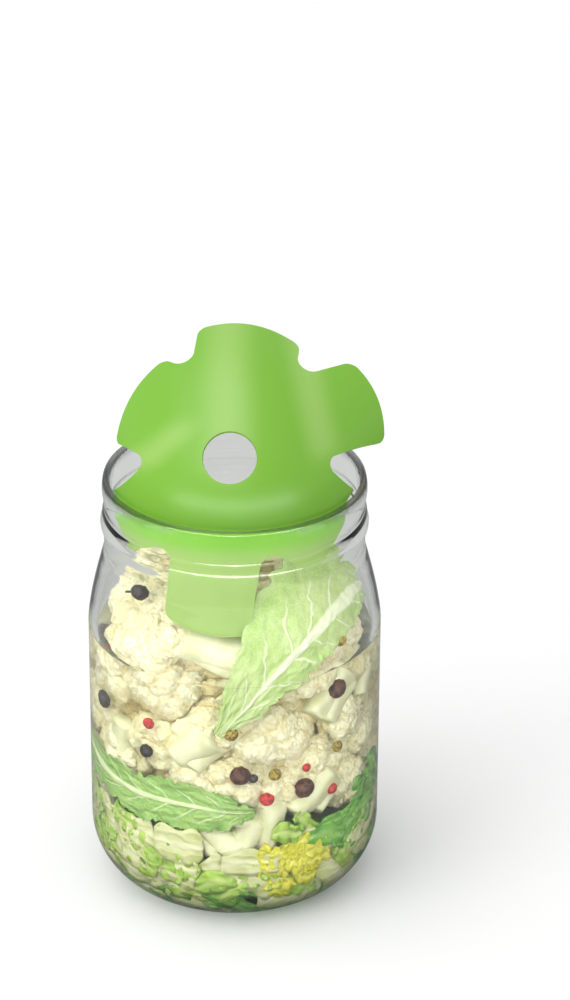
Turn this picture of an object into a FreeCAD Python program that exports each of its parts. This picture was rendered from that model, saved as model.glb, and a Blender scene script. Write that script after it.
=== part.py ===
import FreeCAD, Part
import math
import os

V = FreeCAD.Vector
V2 = FreeCAD.Base.Vector2d
UP = V(0, 0, 1)

# jar, all in millimetres, the foot stands on z = 0 and the axis is Z
BODY_R = 52.5
HEEL_R = 25.0
PUNT_R = 20.0
PUNT_DEPTH = 1.6
WALL = 2.7
FLOOR_Z = 5.5
SHOULDER_Z = 104.0
NECK_Z = 134.0
NECK_R = 46.4
BORE_R = 44.1
BEAD_LOW_Z = 138.5
BEAD_HIGH_Z = 148.5
BEAD_R = 47.6
LIP_R = 46.9
LIP_Z = 158.3
RIM_Z = 161.2
RIM_R = 45.5

# green insert: a flexible sheet cut as a disc with six tabs and a hole
SHEET = 1.2
SHEET_WALL_R = BORE_R - 0.3 - SHEET / 2
RIM_FOLD_Z = 159.0
FOLD_TO_HOLE = 27.0
SHEET_REACH = 64.0
LEAN_AT_HOLE = 46.0
LEAN_AT_TOP = 80.0
# bend of the free part across: even on the left, a ridge that flares out again on the right
BEND_LEFT = 0.0185
RIDGE = 0.020
FLARE = 0.55
FLARE_FROM = 16.0
FLARE_TO = 40.0
HOLE_R = 9.4
SHEET_TURN = 7.5
SHEET_SHIFT = -1.7
NOTCH_ROUND = 4.5
TAB_CORNER = 4.5
# direction in degrees, half width, reach from the hole centre
TABS = [(90.0, 18.2, 58.0),
        (146.0, 18.0, 51.5),
        (-142.5, 17.5, 58.0),
        (-90.0, 15.2, 67.0),
        (-26.5, 21.0, 55.0),
        (41.0, 16.5, 66.5)]

# food and brine
BRINE_Z = 103.0
BRINE_GAP = 0.25
LEAF_GAP = 0.6
LEAF_THICK = 1.2
LEAF_FREE_Z = 118.0
LEAF_DROOP = 0.25
LEAF_STATIONS = 20
FOOD_GAP = 2.2
GREENS_GAP = 0.6
CLEAR = 0.3


def revolve(curves):
    """A full turn about Z of a closed outline in the XZ plane."""
    face = Part.Face(Part.Wire(Part.__sortEdges__([c.toShape() for c in curves])))
    return face.revolve(V(0, 0, 0), UP, 360)


def line(a, b):
    return Part.LineSegment(V(a[0], 0, a[1]), V(b[0], 0, b[1]))


def arc(a, m, b):
    return Part.Arc(V(a[0], 0, a[1]), V(m[0], 0, m[1]), V(b[0], 0, b[1]))


def spline(points, tan_a, tan_b):
    curve = Part.BSplineCurve()
    curve.interpolate([V(r, 0, z) for r, z in points],
                      InitialTangent=V(tan_a[0], 0, tan_a[1]),
                      FinalTangent=V(tan_b[0], 0, tan_b[1]))
    return curve


def shoulder_points(inset):
    """The shoulder runs in from the straight body to the neck."""
    run = NECK_Z - SHOULDER_Z
    drop = [(0.0, 0.0), (0.27, 1.0), (0.6, 3.1), (0.87, 5.2), (1.0, 6.1)]
    end = BODY_R - NECK_R
    return [(BODY_R - inset - d * end / 6.1, SHOULDER_Z + t * run) for t, d in drop]


# the jar itself
heel_c = (BODY_R - HEEL_R, HEEL_R)
s45 = math.sin(math.pi / 4)
outer = [
    line((0, PUNT_DEPTH), (PUNT_R - 3, PUNT_DEPTH)),
    line((PUNT_R - 3, PUNT_DEPTH), (PUNT_R, 0)),
    line((PUNT_R, 0), (heel_c[0], 0)),
    arc((heel_c[0], 0), (heel_c[0] + HEEL_R * s45, HEEL_R - HEEL_R * s45), (BODY_R, HEEL_R)),
    line((BODY_R, HEEL_R), (BODY_R, SHOULDER_Z)),
    spline(shoulder_points(0), (0, 1), (0, 1)),
    line((NECK_R, NECK_Z), (NECK_R, BEAD_LOW_Z)),
    arc((NECK_R, BEAD_LOW_Z), (BEAD_R, (BEAD_LOW_Z + BEAD_HIGH_Z) / 2), (NECK_R, BEAD_HIGH_Z)),
    line((NECK_R, BEAD_HIGH_Z), (NECK_R, LIP_Z - 5)),
    arc((NECK_R, LIP_Z - 5), (LIP_R, LIP_Z - 2.5), (LIP_R - 0.2, LIP_Z)),
    arc((LIP_R - 0.2, LIP_Z), (LIP_R - 0.6, RIM_Z - 1.0), (RIM_R, RIM_Z)),
]
INNER_R = BODY_R - WALL
INNER_HEEL = HEEL_R - WALL
shoulder_in = shoulder_points(WALL)
shoulder_in = [(r + (BORE_R - shoulder_in[-1][0]) * i / 4, z) for i, (r, z) in enumerate(shoulder_in)]


def inner_outline(gap, top_z):
    """The hollow of the jar drawn in by a gap and closed at a level."""
    r = INNER_R - gap
    heel = INNER_HEEL - gap
    low = FLOOR_Z + gap
    c = (r - heel, low + heel)
    m = (c[0] + heel * s45, c[1] - heel * s45)
    curves = [line((0, low), (c[0], low)), arc((c[0], low), m, (r, c[1]))]
    if top_z <= SHOULDER_Z:
        curves.append(line((r, c[1]), (r, top_z)))
        edge = (r, top_z)
    else:
        curves.append(line((r, c[1]), (r, SHOULDER_Z)))
        curves.append(spline([(a - gap, z) for a, z in shoulder_in], (0, 1), (0, 1)))
        curves.append(line((BORE_R - gap, NECK_Z), (BORE_R - gap, top_z)))
        edge = (BORE_R - gap, top_z)
    curves.append(line(edge, (0, top_z)))
    curves.append(line((0, top_z), (0, low)))
    return curves


def hollow(gap, top_z):
    return revolve(inner_outline(gap, top_z))


def inner_radius(z):
    """Radius of the inside wall at a height."""
    low = FLOOR_Z + INNER_HEEL
    if z < low:
        return INNER_R - INNER_HEEL + math.sqrt(max(INNER_HEEL ** 2 - (low - z) ** 2, 0))
    for (r0, z0), (r1, z1) in zip(shoulder_in, shoulder_in[1:]):
        if z0 <= z <= z1:
            return r0 + (r1 - r0) * (z - z0) / (z1 - z0)
    return INNER_R if z < SHOULDER_Z else BORE_R


inner = [
    line((0, PUNT_DEPTH), (0, FLOOR_Z)),
    line((0, FLOOR_Z), (INNER_R - INNER_HEEL, FLOOR_Z)),
    arc((INNER_R - INNER_HEEL, FLOOR_Z),
        (INNER_R - INNER_HEEL + INNER_HEEL * s45, FLOOR_Z + INNER_HEEL * (1 - s45)),
        (INNER_R, FLOOR_Z + INNER_HEEL)),
    line((INNER_R, FLOOR_Z + INNER_HEEL), (INNER_R, SHOULDER_Z)),
    spline(shoulder_in, (0, 1), (0, 1)),
    line((BORE_R, NECK_Z), (BORE_R, LIP_Z)),
    arc((BORE_R, LIP_Z), (BORE_R + 0.4, RIM_Z - 0.9), (RIM_R, RIM_Z)),
]
jar = revolve(outer + inner)


# the insert sheet, first as a bent surface over flat coordinates p (across) and q (up)
def ease(t):
    t = min(max(t, 0.0), 1.0)
    return t * t * (3 - 2 * t)


def lean(q):
    """Backward lean of the sheet's centre line, upright where it lies on the neck wall."""
    a = LEAN_AT_HOLE * min(max((q + FOLD_TO_HOLE) / FOLD_TO_HOLE, 0), 1)
    b = (LEAN_AT_TOP - LEAN_AT_HOLE) * min(max(q / SHEET_REACH, 0), 1.3)
    return math.radians(a + b)


def centre_line(q):
    """Y and Z of the centre line, summed from the fold at the rim."""
    steps = 48
    d = (q + FOLD_TO_HOLE) / steps
    y = -SHEET_WALL_R
    z = RIM_FOLD_Z
    for i in range(steps):
        a = lean(-FOLD_TO_HOLE + (i + 0.5) * d)
        y += math.sin(a) * d
        z += math.cos(a) * d
    return y, z


def turn_across(p, opening):
    """Angle of the sheet across: the neck's curve where it is held, its own bend where it is free."""
    free = BEND_LEFT * p
    if p > 0:
        free = RIDGE * p - FLARE * ease((p - FLARE_FROM) / (FLARE_TO - FLARE_FROM))
    return p / SHEET_WALL_R * (1 - opening) + free * opening


def bent(p, q, side):
    """A point of the sheet, side mm off its middle, positive towards the hollow side."""
    y, z = centre_line(q)
    a = lean(q)
    opening = ease((q + FOLD_TO_HOLE) / (SHEET_REACH + FOLD_TO_HOLE))
    steps = 24
    x = 0.0
    n = 0.0
    for i in range(steps):
        t = turn_across(p * (i + 0.5) / steps, opening)
        x += math.cos(t) * p / steps
        n += math.sin(t) * p / steps
    t = turn_across(p, opening)
    x -= side * math.sin(t)
    n += side * math.cos(t)
    return V(x, y + n * math.cos(a), z - n * math.sin(a))


P_MAX = 72.0
Q_MIN = -74.0
Q_MAX = 70.0
GRID = 37


def sheet_surface(side):
    """A cubic surface whose unit square maps evenly onto the flat coordinates."""
    spans = GRID - 3
    knots = [i / spans for i in range(spans + 1)]
    full = [0.0] * 3 + knots + [1.0] * 3
    even = [sum(full[i + 1:i + 4]) / 3 for i in range(GRID)]
    poles = []
    for u in even:
        p = P_MAX * (2 * u - 1)
        poles.append([bent(p, Q_MIN + (Q_MAX - Q_MIN) * v, side) for v in even])
    mults = [4] + [1] * (spans - 1) + [4]
    surface = Part.BSplineSurface()
    surface.buildFromPolesMultsKnots(poles, mults, mults, knots, knots, False, False, 3, 3)
    return surface


def turned(x, y):
    """Flat pattern to sheet coordinates: turned about the hole and shifted."""
    a = -math.radians(SHEET_TURN)
    return (x * math.cos(a) - y * math.sin(a) + SHEET_SHIFT, x * math.sin(a) + y * math.cos(a))


def unit(deg):
    return (math.cos(math.radians(deg)), math.sin(math.radians(deg)))


def tab_corner(tab, side):
    """Outer corner of a tab, where its side meets its curved end."""
    d, half, reach = tab
    u = unit(d)
    along = math.sqrt(reach ** 2 - half ** 2)
    return (u[0] * along - side * u[1] * half, u[1] * along + side * u[0] * half)


def notch_corner(a, b):
    """Where the left side of tab a meets the right side of the next tab b."""
    ua = unit(a[0])
    ub = unit(b[0])
    pa = (-ua[1] * a[1], ua[0] * a[1])
    pb = (ub[1] * b[1], -ub[0] * b[1])
    det = ua[0] * ub[1] - ua[1] * ub[0]
    t = ((pb[0] - pa[0]) * ub[1] - (pb[1] - pa[1]) * ub[0]) / det
    return (pa[0] + ua[0] * t, pa[1] + ua[1] * t)


def rounded(before, corner, after, r):
    """Three points of an arc of radius r that rounds a corner."""
    def toward(p):
        l = math.hypot(p[0] - corner[0], p[1] - corner[1])
        return ((p[0] - corner[0]) / l, (p[1] - corner[1]) / l)
    u = toward(before)
    w = toward(after)
    half = math.acos(max(-1, min(1, u[0] * w[0] + u[1] * w[1]))) / 2
    cut = r / math.tan(half)
    mid = (u[0] + w[0], u[1] + w[1])
    ml = math.hypot(*mid)
    centre = r / math.sin(half)
    m = (corner[0] + mid[0] / ml * (centre - r), corner[1] + mid[1] / ml * (centre - r))
    return ((corner[0] + u[0] * cut, corner[1] + u[1] * cut), m,
            (corner[0] + w[0] * cut, corner[1] + w[1] * cut))


def sheet_outline():
    """Line and arc segments of the tabbed outline, as lists of points."""
    arcs = []
    for i, tab in enumerate(TABS):
        nxt = TABS[(i + 1) % 6]
        prev = TABS[i - 1]
        right = tab_corner(tab, -1)
        left = tab_corner(tab, 1)
        u = unit(tab[0])
        end = (u[0] * tab[2], u[1] * tab[2])
        arcs.append(rounded(notch_corner(prev, tab), right, end, TAB_CORNER))
        arcs.append(("end", end))
        arcs.append(rounded(end, left, notch_corner(tab, nxt), TAB_CORNER))
        arcs.append(rounded(left, notch_corner(tab, nxt), tab_corner(nxt, -1), NOTCH_ROUND))
    segments = []
    for i, item in enumerate(arcs):
        if item[0] == "end":
            segments.append(("arc", arcs[i - 1][2], item[1], arcs[i + 1][0]))
            continue
        segments.append(("arc",) + item)
        follow = arcs[(i + 1) % len(arcs)]
        if follow[0] != "end":
            segments.append(("line", item[2], follow[0]))
    return segments


def surface_uv(x, y):
    """Flat pattern to the unit square of the sheet surfaces."""
    p, q = turned(x, y)
    return V2((p + P_MAX) / (2 * P_MAX), (q - Q_MIN) / (Q_MAX - Q_MIN))


def curve_on(surface, points):
    uv = [surface_uv(x, y) for x, y in points]
    if len(uv) == 2:
        return Part.Geom2d.Line2dSegment(uv[0], uv[1]).toShape(surface)
    curve = Part.Geom2d.BSplineCurve2d()
    curve.interpolate(uv)
    return curve.toShape(surface)


def circle_points(a, m, b, n):
    """n + 1 points along the arc through three points."""
    ax, ay = a
    bx, by = m
    cx, cy = b
    d = 2 * (ax * (by - cy) + bx * (cy - ay) + cx * (ay - by))
    sa = ax * ax + ay * ay
    sb = bx * bx + by * by
    sc = cx * cx + cy * cy
    ux = (sa * (by - cy) + sb * (cy - ay) + sc * (ay - by)) / d
    uy = (sa * (cx - bx) + sb * (ax - cx) + sc * (bx - ax)) / d
    r = math.hypot(ax - ux, ay - uy)
    t0 = math.atan2(ay - uy, ax - ux)
    tm = math.atan2(by - uy, bx - ux) - t0
    t1 = math.atan2(cy - uy, cx - ux) - t0
    tm = math.atan2(math.sin(tm), math.cos(tm))
    t1 = math.atan2(math.sin(t1), math.cos(t1))
    if tm * t1 < 0:
        t1 += math.copysign(2 * math.pi, tm)
    return [(ux + r * math.cos(t0 + t1 * i / n), uy + r * math.sin(t0 + t1 * i / n)) for i in range(n + 1)]


def thick_patch(front, back):
    """A solid between two surfaces over the same unit square."""
    faces = [front.toShape(), back.toShape()]
    for t in (0, 1):
        faces.append(Part.makeRuledSurface(front.uIso(t).toShape(), back.uIso(t).toShape()))
        faces.append(Part.makeRuledSurface(front.vIso(t).toShape(), back.vIso(t).toShape()))
    shell = Part.makeShell(faces)
    shell.sewShape()
    return Part.Solid(shell)


def cut_walls(lines):
    """The upright walls along which the sheet is cut, a little taller than its thickness."""
    low = sheet_surface(-SHEET)
    high = sheet_surface(SHEET)
    return Part.makeShell([Part.makeRuledSurface(curve_on(low, p), curve_on(high, p)) for p in lines])


def insert_sheet():
    slab = thick_patch(sheet_surface(-SHEET / 2), sheet_surface(SHEET / 2))
    rim = []
    for seg in sheet_outline():
        if seg[0] == "line":
            rim.append(seg[1:])
        else:
            rim.append(circle_points(seg[1], seg[2], seg[3], 8))
    quarter = [math.pi / 12 * t for t in range(7)]
    hole = []
    for k in range(4):
        turn = math.pi / 2 * k
        hole.append([(HOLE_R * math.cos(turn + a), HOLE_R * math.sin(turn + a)) for a in quarter])
    split, _ = slab.generalFuse([cut_walls(rim), cut_walls(hole)])
    probe = bent(0, 20, 0)
    for solid in split.Solids:
        if solid.isInside(probe, 0.01, True):
            return solid


insert = insert_sheet()


# leaves laid against the inside wall
def leaf_path(rib, widths):
    """Even stations along a leaf: distance round the wall, height and half width."""
    curve = Part.BSplineCurve()
    curve.interpolate([V(math.radians(deg) * INNER_R, z, half) for (deg, z), half in zip(rib, widths)])
    first = curve.FirstParameter
    span = curve.LastParameter - first
    return [curve.value(first + span * i / LEAF_STATIONS) for i in range(LEAF_STATIONS + 1)]


def leaf(rib, widths, grow):
    """A leaf along rib points (angle in degrees, z), half widths in mm, between wall and food."""
    front = []
    back = []
    across = 13
    path = leaf_path(rib, widths)
    for i, here in enumerate(path):
        lo = path[max(i - 1, 0)]
        hi = path[min(i + 1, len(path) - 1)]
        length = math.hypot(hi.x - lo.x, hi.y - lo.y)
        ds = (hi.x - lo.x) / length
        dz = (hi.y - lo.y) / length
        along = 0
        if i == 0:
            along = -grow
        if i == len(path) - 1:
            along = grow
        row_f = []
        row_b = []
        for j in range(across):
            w = (here.z + grow) * (2.0 * j / (across - 1) - 1)
            a = (here.x - dz * w + ds * along) / INNER_R
            h = here.y + ds * w + dz * along
            outside = inner_radius(h) - LEAF_GAP + grow - LEAF_DROOP * max(h - LEAF_FREE_Z, 0)
            inside = outside - LEAF_THICK - 2 * grow
            row_f.append(V(outside * math.sin(a), -outside * math.cos(a), h))
            row_b.append(V(inside * math.sin(a), -inside * math.cos(a), h))
        front.append(row_f)
        back.append(row_b)
    sf = Part.BSplineSurface()
    sf.interpolate(front)
    sb = Part.BSplineSurface()
    sb.interpolate(back)
    return thick_patch(sf, sb)


UPPER_RIB = [(-7.0, 83.0), (2.0, 94.0), (11.5, 105.0), (24.0, 115.0), (38.0, 122.0),
             (54.0, 125.5), (69.0, 125.5), (80.0, 123.0)]
UPPER_HALF = [1.2, 7.0, 11.0, 14.0, 14.0, 13.0, 10.0, 6.0]
LOWER_RIB = [(8.0, 51.5), (-4.0, 51.0), (-17.0, 52.0), (-31.0, 52.0),
             (-45.0, 51.5), (-60.0, 52.0), (-76.0, 54.0), (-90.0, 58.0)]
LOWER_HALF = [1.2, 6.5, 9.5, 9.0, 8.5, 8.0, 7.5, 5.0]
leaf_upper = leaf(UPPER_RIB, UPPER_HALF, 0)
leaf_lower = leaf(LOWER_RIB, LOWER_HALF, 0)


# heaps: rounded lumps joined round a core
def lump(deg, r, z, size):
    a = math.radians(deg)
    return Part.makeSphere(size, V(r * math.sin(a), -r * math.cos(a), z))


def join(shapes):
    return shapes[0].multiFuse(shapes[1:]).removeSplitter()


def rod(deg_a, r_a, z_a, size_a, deg_b, r_b, z_b, size_b):
    """A tapered stalk between two places in the jar."""
    a = V(r_a * math.sin(math.radians(deg_a)), -r_a * math.cos(math.radians(deg_a)), z_a)
    b = V(r_b * math.sin(math.radians(deg_b)), -r_b * math.cos(math.radians(deg_b)), z_b)
    d = b - a
    return Part.makeCone(size_a, size_b, d.Length, a, d)


def white_stalk(grow):
    """A forked piece of stalk that lies at the front among the greens."""
    return join([lump(-1, 37.5, 33, 7.0 + grow),
                 rod(-1, 37.5, 33, 6.0 + grow, 11, 38, 46, 5.0 + grow),
                 lump(11, 38, 46, 5.0 + grow),
                 rod(-1, 37.5, 33, 5.0 + grow, -15, 38.5, 42, 4.2 + grow),
                 lump(-15, 38.5, 42, 4.2 + grow)])


GREEN_LUMPS = [(0, 30.0, 22.0, 13.5), (36, 31.0, 25.0, 14.0), (72, 31.0, 29.0, 14.0), (108, 31.0, 24.0, 14.0),
               (144, 31.0, 27.0, 14.0), (180, 31.0, 23.0, 14.0), (216, 31.0, 26.0, 14.0), (252, 31.0, 24.0, 14.0),
               (288, 31.0, 27.0, 14.0), (324, 31.0, 28.0, 14.0)]


def greens_heap(grow):
    parts = [Part.makeCylinder(BODY_R, 24 + grow, V(0, 0, 0)),
             Part.makeCylinder(30 + grow, 35 + grow, V(0, 0, 0))]
    for deg, r, z, size in GREEN_LUMPS:
        parts.append(lump(deg, r, z, size + grow))
    return join(parts)


RINGS = [(58.0, 30.5, 17.3, 8, 10.0), (80.0, 29.5, 18.2, 7, 30.0), (101.0, 29.0, 17.5, 7, 0.0)]


def cauliflower(grow):
    parts = [Part.makeCylinder(24 + grow, 68 + 2 * grow, V(0, 0, 42 - grow))]
    for z, r, size, count, start in RINGS:
        for i in range(count):
            wobble = ((i * 5) % 3 - 1) * 1.2
            parts.append(lump(start + 360.0 * i / count, r, z + wobble * 2, size + wobble + grow))
    return join(parts)


# florets that stand above the brine: head lumps at (angle, radius, z, size) and a stalk
FLORETS = [
    [(-58, 24, 116, 13.5), (-75, 27, 112, 10.5), (-40, 26, 113, 11.0)],
    [(12, 25, 117, 12.5), (30, 25, 114, 11.5), (-6, 25, 114, 10.5)],
    [(85, 23, 116, 13.0), (68, 26, 112, 11.0), (103, 26, 112, 11.0)],
    [(150, 23, 117, 13.0), (132, 26, 113, 11.0), (168, 26, 113, 10.5)],
    [(216, 24, 116, 13.0), (198, 26, 112, 10.5), (236, 26, 113, 11.5)],
]


def floret(lumps, grow):
    parts = [lump(deg, r, z, size + grow) for deg, r, z, size in lumps]
    return join(parts)


food_space = hollow(FOOD_GAP, 140)
greens_space = hollow(GREENS_GAP, 80)
stalk_grown = white_stalk(CLEAR)
greens_all = greens_heap(0)
stalk_piece = white_stalk(0).common(food_space)
greens = greens_all.common(hollow(FOOD_GAP, 60)).cut(stalk_grown)
greens = greens.cut(leaf(LOWER_RIB, LOWER_HALF, CLEAR))
cauli = cauliflower(0).common(food_space).cut(greens_heap(CLEAR)).cut(stalk_grown)
cauli_grown = cauliflower(CLEAR)
tab_space = Part.makeCylinder(SHEET_WALL_R + 2, 60, V(0, 0, 110)).cut(
    Part.makeCylinder(SHEET_WALL_R - 1.2, 60, V(0, 0, 110)))
leaf_grown = leaf(UPPER_RIB, UPPER_HALF, CLEAR)
tops = []
grown_tops = []
for k, lumps in enumerate(FLORETS):
    body = floret(lumps, 0).common(hollow(0.9, 140)).cut(cauli_grown).cut(tab_space).cut(leaf_grown)
    for other in grown_tops:
        body = body.cut(other)
    body = max(body.Solids, key=lambda s: s.Volume)
    tops.append(body)
    grown_tops.append(floret(lumps, CLEAR))
cauli = max(cauli.Solids, key=lambda s: s.Volume)
greens = max(greens.Solids, key=lambda s: s.Volume)
stalk_piece = max(stalk_piece.Solids, key=lambda s: s.Volume)

brine = hollow(BRINE_GAP, BRINE_Z)
brine = brine.cut(cauli_grown.common(hollow(FOOD_GAP - CLEAR, 140)))
brine = brine.cut(greens_heap(CLEAR).common(hollow(FOOD_GAP - CLEAR, 60)))
brine = brine.cut(stalk_grown)
brine = brine.cut(leaf_grown).cut(leaf(LOWER_RIB, LOWER_HALF, CLEAR))
for g in grown_tops:
    brine = brine.cut(g)
brine = max(brine.Solids, key=lambda s: s.Volume)

pieces = {
    "jar": jar,
    "insert": insert,
    "brine": brine,
    "cauliflower_heap": cauli,
    "chopped_greens": greens,
    "stalk_piece": stalk_piece,
    "leaf_upper": leaf_upper,
    "leaf_lower": leaf_lower,
}
for k, body in enumerate(tops):
    pieces["floret_%d" % (k + 1)] = body

os.makedirs("parts", exist_ok=True)
for name in os.listdir("parts"):
    os.remove("parts/" + name)
for name, shape in pieces.items():
    print(name, shape.ShapeType, shape.isValid(), round(shape.Volume / 1000, 2), "cm3", len(shape.Solids))
    shape.exportStep("parts/%s.step" % name)
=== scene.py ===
import bpy
import math
import numpy as np
from mathutils import Matrix, Vector, noise


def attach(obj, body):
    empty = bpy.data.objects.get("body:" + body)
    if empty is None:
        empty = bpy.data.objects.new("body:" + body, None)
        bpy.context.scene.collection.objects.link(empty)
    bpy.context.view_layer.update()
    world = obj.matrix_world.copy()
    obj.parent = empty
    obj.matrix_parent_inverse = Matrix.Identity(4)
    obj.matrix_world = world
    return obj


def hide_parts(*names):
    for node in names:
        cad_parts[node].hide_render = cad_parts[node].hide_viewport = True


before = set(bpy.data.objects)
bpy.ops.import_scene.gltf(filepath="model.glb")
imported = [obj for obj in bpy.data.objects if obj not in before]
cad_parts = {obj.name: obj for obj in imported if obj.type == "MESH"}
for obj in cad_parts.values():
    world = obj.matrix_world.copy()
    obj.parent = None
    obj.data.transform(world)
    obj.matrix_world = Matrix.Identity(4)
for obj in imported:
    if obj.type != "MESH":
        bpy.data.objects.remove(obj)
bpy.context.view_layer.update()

# Jar: a round wide-mouth jar of clear pressed glass, about a litre. Its foot is a flat ring round a
# shallow punt, the heel is wide and round, and the neck has a bead and a fire-polished lip.

MM = 0.001
BODY_R = 52.5
WALL = 2.7
HEEL_R = 25.0
FLOOR_Z = 5.5
SHOULDER_Z = 104.0
SHOULDER_STEPS = 22
NECK_Z = 134.0
NECK_R = 46.4
BORE_R = 44.1
INNER_R = BODY_R - WALL
INNER_HEEL = HEEL_R - WALL
SAME_PLACE = 0.00001
SHARP_EDGE = math.radians(50)


def put_down():
    """Leaves edit mode and deselects everything."""
    if bpy.context.object and bpy.context.object.mode != "OBJECT":
        bpy.ops.object.mode_set(mode="OBJECT")
    bpy.ops.object.select_all(action="DESELECT")


def pick(piece):
    """Selects one piece alone and makes it active."""
    put_down()
    piece.select_set(True)
    bpy.context.view_layer.objects.active = piece


def arc_points(cr, cz, r, deg_a, deg_b, steps):
    """Points of an arc in the (radius, height) outline, angles from the outward direction."""
    turn = [math.radians(deg_a + (deg_b - deg_a) * i / steps) for i in range(steps + 1)]
    return [(cr + r * math.cos(t), cz + r * math.sin(t)) for t in turn]


def shoulder(r_low, r_high):
    """The S-shaped run from the straight body in to the neck, through marks (way up, way in)."""
    marks = np.array([(0.0, 0.0), (0.27, 1.0), (0.6, 3.1), (0.87, 5.2), (1.0, 6.1)])
    ts = marks[:, 0]
    ds = marks[:, 1] / marks[-1, 1]
    slopes = np.gradient(ds, ts)
    slopes[0] = slopes[-1] = 0
    points = []
    for i in range(SHOULDER_STEPS + 1):
        t = i / SHOULDER_STEPS
        k = min(int(np.searchsorted(ts, t, side="right")) - 1, len(ts) - 2)
        h = ts[k + 1] - ts[k]
        s = (t - ts[k]) / h
        d = (ds[k] * (2 * s**3 - 3 * s**2 + 1) + slopes[k] * h * (s**3 - 2 * s**2 + s)
             + ds[k + 1] * (3 * s**2 - 2 * s**3) + slopes[k + 1] * h * (s**3 - s**2))
        points.append((r_low + (r_high - r_low) * d, SHOULDER_Z + (NECK_Z - SHOULDER_Z) * t))
    return points


def turned_piece(name, outline, steps):
    """Spins an outline of (radius, height) in mm round the jar's axis into a closed, smooth piece."""
    mesh = bpy.data.meshes.new(name)
    edges = [(i, i + 1) for i in range(len(outline) - 1)]
    mesh.from_pydata([(r * MM, 0, z * MM) for r, z in outline], edges, [])
    piece = bpy.data.objects.new(name, mesh)
    bpy.context.collection.objects.link(piece)
    pick(piece)
    bpy.ops.object.mode_set(mode="EDIT")
    bpy.ops.mesh.select_all(action="SELECT")
    bpy.ops.mesh.spin(steps=steps, angle=math.tau, center=(0, 0, 0), axis=(0, 0, 1))
    bpy.ops.mesh.select_all(action="SELECT")
    bpy.ops.mesh.remove_doubles(threshold=SAME_PLACE)
    bpy.ops.mesh.normals_make_consistent(inside=False)
    bpy.ops.object.mode_set(mode="OBJECT")
    bpy.ops.object.shade_smooth_by_angle(angle=SHARP_EDGE)
    return piece


def inner_wall(gap):
    """The inside outline of the jar from the floor to the shoulder's top, drawn in by a gap."""
    r = INNER_R - gap
    heel = INNER_HEEL - gap
    run = [(0, FLOOR_Z + gap)] + arc_points(r - heel, FLOOR_Z + gap + heel, heel, -90, 0, 18)
    return run + [(a - gap, z) for a, z in shoulder(INNER_R, BORE_R)]


PUNT = [(0, 1.6), (17, 1.6), (18.2, 1.2), (19.2, 0.4), (20, 0.05), (21, 0), (27.5, 0)]
BEAD_RISE = [
    (138.5, 0.0), (139.6, 0.2), (141.0, 0.66), (142.2, 1.03), (143.0, 1.17), (143.6, 1.18), (144.1, 1.08),
    (144.7, 0.84), (145.3, 0.66), (146.2, 0.56), (147.3, 0.48), (148.0, 0.38), (148.6, 0.16), (149.1, 0.02),
]
LIP = [
    (NECK_R, 150.2), (46.45, 152.6), (46.75, 154.2), (46.9, 155.8), (46.88, 157.2), (46.75, 158.3),
    (46.62, 159.2), (46.4, 160.1), (46.05, 160.8), (45.5, 161.2), (45.0, 161.05), (44.55, 160.5),
    (44.25, 159.5),
]
heel = arc_points(BODY_R - HEEL_R, HEEL_R, HEEL_R, -90, 0, 24)[1:]
bead = [(NECK_R + rise, z) for z, rise in BEAD_RISE]
bore = [(BORE_R, z) for z in (158.3, 154, 150, 146, 142, 138)]
jar_outline = PUNT + heel + shoulder(BODY_R, NECK_R) + bead + LIP + bore + inner_wall(0)[::-1]
jar = turned_piece("glass_jar", jar_outline, 180)


class Value:
    """A number on a shader socket that can be used in sums."""

    def __init__(self, finish, socket):
        self.finish = finish
        self.socket = socket

    def _sum(self, operation, first, second):
        return self.finish.value("Math", {"operation": operation}, {0: first, 1: second})

    def __add__(self, other):
        return self._sum("ADD", self, other)

    def __radd__(self, other):
        return self._sum("ADD", other, self)

    def __sub__(self, other):
        return self._sum("SUBTRACT", self, other)

    def __rsub__(self, other):
        return self._sum("SUBTRACT", other, self)

    def __mul__(self, other):
        return self._sum("MULTIPLY", self, other)

    def __rmul__(self, other):
        return self._sum("MULTIPLY", other, self)

    def __abs__(self):
        return self.finish.value("Math", {"operation": "ABSOLUTE"}, {0: self})


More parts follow.
